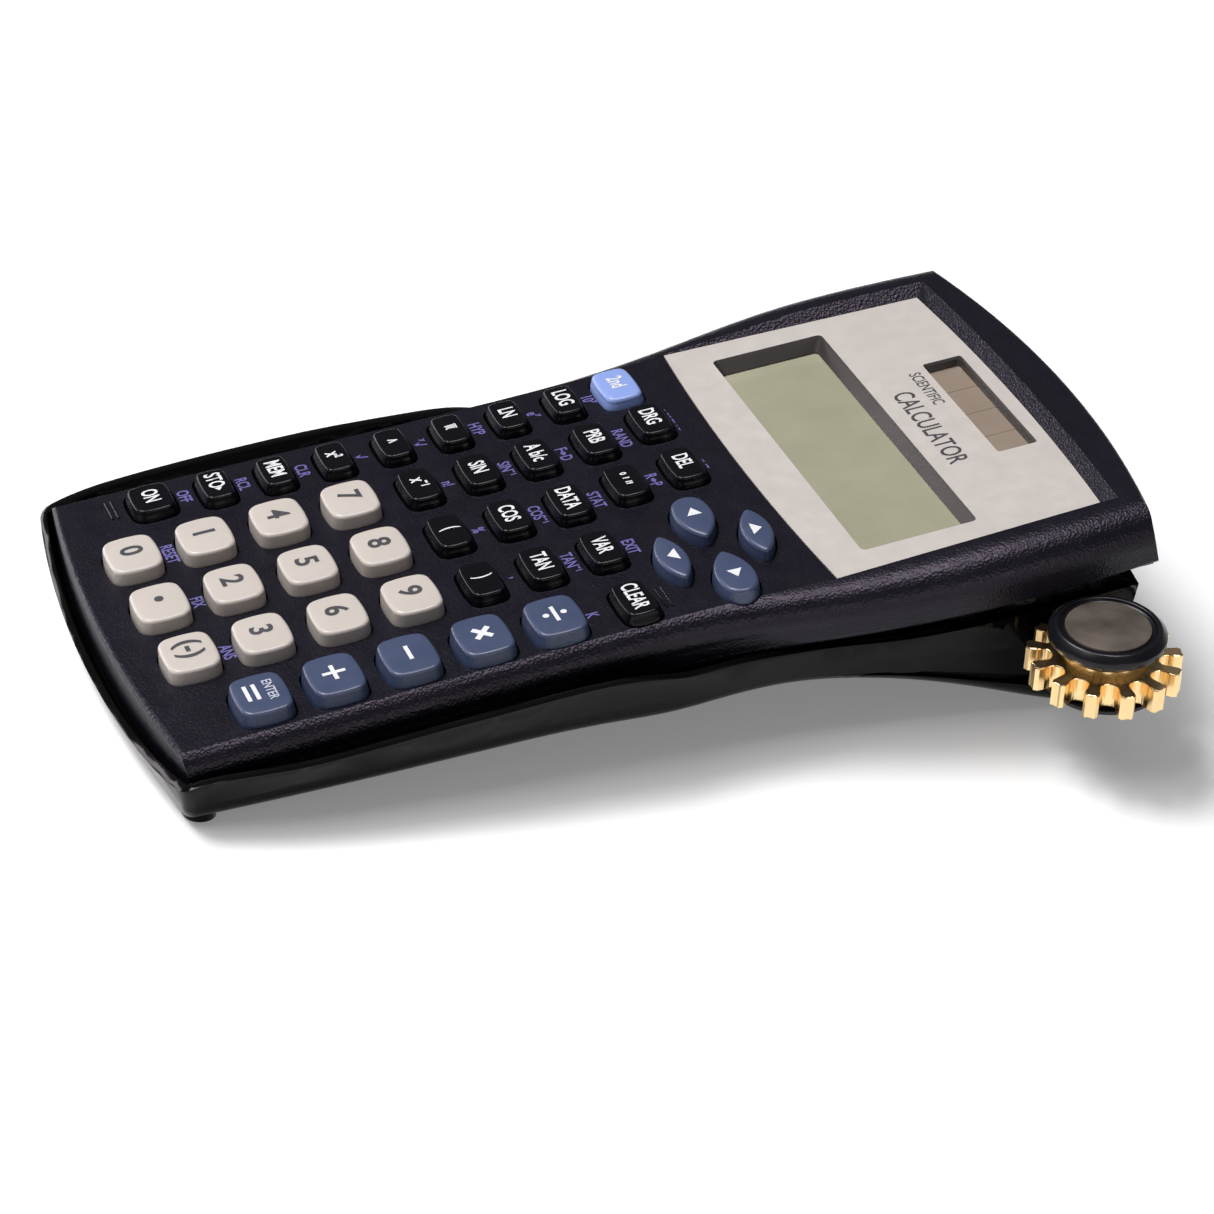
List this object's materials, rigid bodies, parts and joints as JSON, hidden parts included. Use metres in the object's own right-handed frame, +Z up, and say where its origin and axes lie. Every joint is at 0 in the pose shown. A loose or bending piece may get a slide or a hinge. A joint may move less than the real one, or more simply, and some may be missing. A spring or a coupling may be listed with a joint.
{
  "type": "pocket scientific calculator with slide cover",
  "caption": "Pocket scientific calculator seated in its slide-on hard cover, leaning on it, with travelling keys and a brass gear spinner on the cover corner.",
  "frame": {"origin": "middle of the bounding box footprint, on the surface it rests on", "axes": "+X across the keys to the right, +Y level from the keypad end to the display end, +Z up; the key face leans back 9.2 degrees"},
  "size_m": [0.1004, 0.1574, 0.0363],
  "materials": {
    "case_plastic": "dark navy-black ABS, fine leather grain",
    "cover_plastic": "polished black ABS",
    "key_ivory": "ivory keycaps, satin gloss",
    "key_blue": "slate-blue keycaps",
    "key_periwinkle": "light blue shift key",
    "key_black": "black gloss keycaps",
    "silver_panel": "warm silver satin",
    "lcd": "blank reflective display",
    "solar_cell": "amorphous silicon cell",
    "silicone": "moulded silicone",
    "board": "green laminate",
    "screw_steel": "zinc plated",
    "brass": "polished brass",
    "bearing_steel": "ground bearing steel",
    "cap_black": "black anodised, bevelled"
  },
  "bodies": {
    "cover": {"slide_cover": "cover_plastic", "spinner_post": "cap_black", "spinner_cap": "cap_black"},
    "calculator": {"back_case": "case_plastic", "battery_door": "case_plastic", "button_cell": "screw_steel", "case_screws": "screw_steel", "circuit_board": "board", "display_panel": "silver_panel", "front_case": "case_plastic", "key_membrane": "silicone", "lcd_module": "lcd", "solar_cell": "solar_cell"},
    "gear": {"gear_wheel": "brass", "bearing_outer_race": "bearing_steel"},
    "ball_set": {"bearing_balls": "bearing_steel"},
    "key_0": {"key_0": "key_ivory"},
    "key_1": {"key_1": "key_ivory"},
    "key_2": {"key_2": "key_ivory"},
    "key_3": {"key_3": "key_ivory"},
    "key_4": {"key_4": "key_ivory"},
    "key_5": {"key_5": "key_ivory"},
    "key_6": {"key_6": "key_ivory"},
    "key_7": {"key_7": "key_ivory"},
    "key_8": {"key_8": "key_ivory"},
    "key_9": {"key_9": "key_ivory"},
    "key_angle": {"key_angle": "key_black"},
    "key_clear": {"key_clear": "key_black"},
    "key_close": {"key_close": "key_black"},
    "key_cosine": {"key_cosine": "key_black"},
    "key_data": {"key_data": "key_black"},
    "key_degrees": {"key_degrees": "key_black"},
    "key_delete": {"key_delete": "key_black"},
    "key_divide": {"key_divide": "key_blue"},
    "key_down": {"key_down": "key_blue"},
    "key_enter": {"key_enter": "key_blue"},
    "key_fraction": {"key_fraction": "key_black"},
    "key_left": {"key_left": "key_blue"},
    "key_log": {"key_log": "key_black"},
    "key_memory": {"key_memory": "key_black"},
    "key_minus": {"key_minus": "key_blue"},
    "key_natural_log": {"key_natural_log": "key_black"},
    "key_negate": {"key_negate": "key_ivory"},
    "key_on": {"key_on": "key_black"},
    "key_open": {"key_open": "key_black"},
    "key_pi": {"key_pi": "key_black"},
    "key_plus": {"key_plus": "key_blue"},
    "key_point": {"key_point": "key_ivory"},
    "key_power": {"key_power": "key_black"},
    "key_random": {"key_random": "key_black"},
    "key_reciprocal": {"key_reciprocal": "key_black"},
    "key_right": {"key_right": "key_blue"},
    "key_second": {"key_second": "key_periwinkle"},
    "key_sine": {"key_sine": "key_black"},
    "key_square": {"key_square": "key_black"},
    "key_statistics": {"key_statistics": "key_black"},
    "key_store": {"key_store": "key_black"},
    "key_tangent": {"key_tangent": "key_black"},
    "key_times": {"key_times": "key_blue"},
    "key_up": {"key_up": "key_blue"}
  },
  "joints": [
    {"name": "cover_slide", "type": "slide", "parent": "cover", "child": "calculator", "axis": [0, 0.9871, 0.1599], "range_m": [0, 0.062]},
    {"name": "gear_spin", "type": "hinge", "parent": "cover", "child": "gear", "pos_m": [0.03879, 0.0607, 0.01358], "axis": [0, -0.0732, 0.9973], "continuous": true},
    {"name": "ball_set_spin", "type": "hinge", "parent": "cover", "child": "ball_set", "pos_m": [0.03879, 0.0607, 0.01358], "axis": [0, -0.0732, 0.9973], "continuous": true},
    {"name": "key_0_press", "type": "slide", "parent": "calculator", "child": "key_0", "axis": [0, 0.1599, -0.9871], "range_m": [0, 0.001], "stiffness_N_per_m": 500},
    {"name": "key_1_press", "type": "slide", "parent": "calculator", "child": "key_1", "axis": [0, 0.1599, -0.9871], "range_m": [0, 0.001], "stiffness_N_per_m": 500},
    {"name": "key_2_press", "type": "slide", "parent": "calculator", "child": "key_2", "axis": [0, 0.1599, -0.9871], "range_m": [0, 0.001], "stiffness_N_per_m": 500},
    {"name": "key_3_press", "type": "slide", "parent": "calculator", "child": "key_3", "axis": [0, 0.1599, -0.9871], "range_m": [0, 0.001], "stiffness_N_per_m": 500},
    {"name": "key_4_press", "type": "slide", "parent": "calculator", "child": "key_4", "axis": [0, 0.1599, -0.9871], "range_m": [0, 0.001], "stiffness_N_per_m": 500},
    {"name": "key_5_press", "type": "slide", "parent": "calculator", "child": "key_5", "axis": [0, 0.1599, -0.9871], "range_m": [0, 0.001], "stiffness_N_per_m": 500},
    {"name": "key_6_press", "type": "slide", "parent": "calculator", "child": "key_6", "axis": [0, 0.1599, -0.9871], "range_m": [0, 0.001], "stiffness_N_per_m": 500},
    {"name": "key_7_press", "type": "slide", "parent": "calculator", "child": "key_7", "axis": [0, 0.1599, -0.9871], "range_m": [0, 0.001], "stiffness_N_per_m": 500},
    {"name": "key_8_press", "type": "slide", "parent": "calculator", "child": "key_8", "axis": [0, 0.1599, -0.9871], "range_m": [0, 0.001], "stiffness_N_per_m": 500},
    {"name": "key_9_press", "type": "slide", "parent": "calculator", "child": "key_9", "axis": [0, 0.1599, -0.9871], "range_m": [0, 0.001], "stiffness_N_per_m": 500},
    {"name": "key_angle_press", "type": "slide", "parent": "calculator", "child": "key_angle", "axis": [0, 0.1599, -0.9871], "range_m": [0, 0.001], "stiffness_N_per_m": 500},
    {"name": "key_clear_press", "type": "slide", "parent": "calculator", "child": "key_clear", "axis": [0, 0.1599, -0.9871], "range_m": [0, 0.001], "stiffness_N_per_m": 500},
    {"name": "key_close_press", "type": "slide", "parent": "calculator", "child": "key_close", "axis": [0, 0.1599, -0.9871], "range_m": [0, 0.001], "stiffness_N_per_m": 500},
    {"name": "key_cosine_press", "type": "slide", "parent": "calculator", "child": "key_cosine", "axis": [0, 0.1599, -0.9871], "range_m": [0, 0.001], "stiffness_N_per_m": 500},
    {"name": "key_data_press", "type": "slide", "parent": "calculator", "child": "key_data", "axis": [0, 0.1599, -0.9871], "range_m": [0, 0.001], "stiffness_N_per_m": 500},
    {"name": "key_degrees_press", "type": "slide", "parent": "calculator", "child": "key_degrees", "axis": [0, 0.1599, -0.9871], "range_m": [0, 0.001], "stiffness_N_per_m": 500},
    {"name": "key_delete_press", "type": "slide", "parent": "calculator", "child": "key_delete", "axis": [0, 0.1599, -0.9871], "range_m": [0, 0.001], "stiffness_N_per_m": 500},
    {"name": "key_divide_press", "type": "slide", "parent": "calculator", "child": "key_divide", "axis": [0, 0.1599, -0.9871], "range_m": [0, 0.001], "stiffness_N_per_m": 500},
    {"name": "key_down_press", "type": "slide", "parent": "calculator", "child": "key_down", "axis": [0, 0.1599, -0.9871], "range_m": [0, 0.001], "stiffness_N_per_m": 500},
    {"name": "key_enter_press", "type": "slide", "parent": "calculator", "child": "key_enter", "axis": [0, 0.1599, -0.9871], "range_m": [0, 0.001], "stiffness_N_per_m": 500},
    {"name": "key_fraction_press", "type": "slide", "parent": "calculator", "child": "key_fraction", "axis": [0, 0.1599, -0.9871], "range_m": [0, 0.001], "stiffness_N_per_m": 500},
    {"name": "key_left_press", "type": "slide", "parent": "calculator", "child": "key_left", "axis": [0, 0.1599, -0.9871], "range_m": [0, 0.001], "stiffness_N_per_m": 500},
    {"name": "key_log_press", "type": "slide", "parent": "calculator", "child": "key_log", "axis": [0, 0.1599, -0.9871], "range_m": [0, 0.001], "stiffness_N_per_m": 500},
    {"name": "key_memory_press", "type": "slide", "parent": "calculator", "child": "key_memory", "axis": [0, 0.1599, -0.9871], "range_m": [0, 0.001], "stiffness_N_per_m": 500},
    {"name": "key_minus_press", "type": "slide", "parent": "calculator", "child": "key_minus", "axis": [0, 0.1599, -0.9871], "range_m": [0, 0.001], "stiffness_N_per_m": 500},
    {"name": "key_natural_log_press", "type": "slide", "parent": "calculator", "child": "key_natural_log", "axis": [0, 0.1599, -0.9871], "range_m": [0, 0.001], "stiffness_N_per_m": 500},
    {"name": "key_negate_press", "type": "slide", "parent": "calculator", "child": "key_negate", "axis": [0, 0.1599, -0.9871], "range_m": [0, 0.001], "stiffness_N_per_m": 500},
    {"name": "key_on_press", "type": "slide", "parent": "calculator", "child": "key_on", "axis": [0, 0.1599, -0.9871], "range_m": [0, 0.001], "stiffness_N_per_m": 500},
    {"name": "key_open_press", "type": "slide", "parent": "calculator", "child": "key_open", "axis": [0, 0.1599, -0.9871], "range_m": [0, 0.001], "stiffness_N_per_m": 500},
    {"name": "key_pi_press", "type": "slide", "parent": "calculator", "child": "key_pi", "axis": [0, 0.1599, -0.9871], "range_m": [0, 0.001], "stiffness_N_per_m": 500},
    {"name": "key_plus_press", "type": "slide", "parent": "calculator", "child": "key_plus", "axis": [0, 0.1599, -0.9871], "range_m": [0, 0.001], "stiffness_N_per_m": 500},
    {"name": "key_point_press", "type": "slide", "parent": "calculator", "child": "key_point", "axis": [0, 0.1599, -0.9871], "range_m": [0, 0.001], "stiffness_N_per_m": 500},
    {"name": "key_power_press", "type": "slide", "parent": "calculator", "child": "key_power", "axis": [0, 0.1599, -0.9871], "range_m": [0, 0.001], "stiffness_N_per_m": 500},
    {"name": "key_random_press", "type": "slide", "parent": "calculator", "child": "key_random", "axis": [0, 0.1599, -0.9871], "range_m": [0, 0.001], "stiffness_N_per_m": 500},
    {"name": "key_reciprocal_press", "type": "slide", "parent": "calculator", "child": "key_reciprocal", "axis": [0, 0.1599, -0.9871], "range_m": [0, 0.001], "stiffness_N_per_m": 500},
    {"name": "key_right_press", "type": "slide", "parent": "calculator", "child": "key_right", "axis": [0, 0.1599, -0.9871], "range_m": [0, 0.001], "stiffness_N_per_m": 500},
    {"name": "key_second_press", "type": "slide", "parent": "calculator", "child": "key_second", "axis": [0, 0.1599, -0.9871], "range_m": [0, 0.001], "stiffness_N_per_m": 500},
    {"name": "key_sine_press", "type": "slide", "parent": "calculator", "child": "key_sine", "axis": [0, 0.1599, -0.9871], "range_m": [0, 0.001], "stiffness_N_per_m": 500},
    {"name": "key_square_press", "type": "slide", "parent": "calculator", "child": "key_square", "axis": [0, 0.1599, -0.9871], "range_m": [0, 0.001], "stiffness_N_per_m": 500},
    {"name": "key_statistics_press", "type": "slide", "parent": "calculator", "child": "key_statistics", "axis": [0, 0.1599, -0.9871], "range_m": [0, 0.001], "stiffness_N_per_m": 500},
    {"name": "key_store_press", "type": "slide", "parent": "calculator", "child": "key_store", "axis": [0, 0.1599, -0.9871], "range_m": [0, 0.001], "stiffness_N_per_m": 500},
    {"name": "key_tangent_press", "type": "slide", "parent": "calculator", "child": "key_tangent", "axis": [0, 0.1599, -0.9871], "range_m": [0, 0.001], "stiffness_N_per_m": 500},
    {"name": "key_times_press", "type": "slide", "parent": "calculator", "child": "key_times", "axis": [0, 0.1599, -0.9871], "range_m": [0, 0.001], "stiffness_N_per_m": 500},
    {"name": "key_up_press", "type": "slide", "parent": "calculator", "child": "key_up", "axis": [0, 0.1599, -0.9871], "range_m": [0, 0.001], "stiffness_N_per_m": 500}
  ],
  "couplings": [
    {"joint": "ball_set_spin", "follows": "gear_spin", "ratio": 0.615}
  ]
}
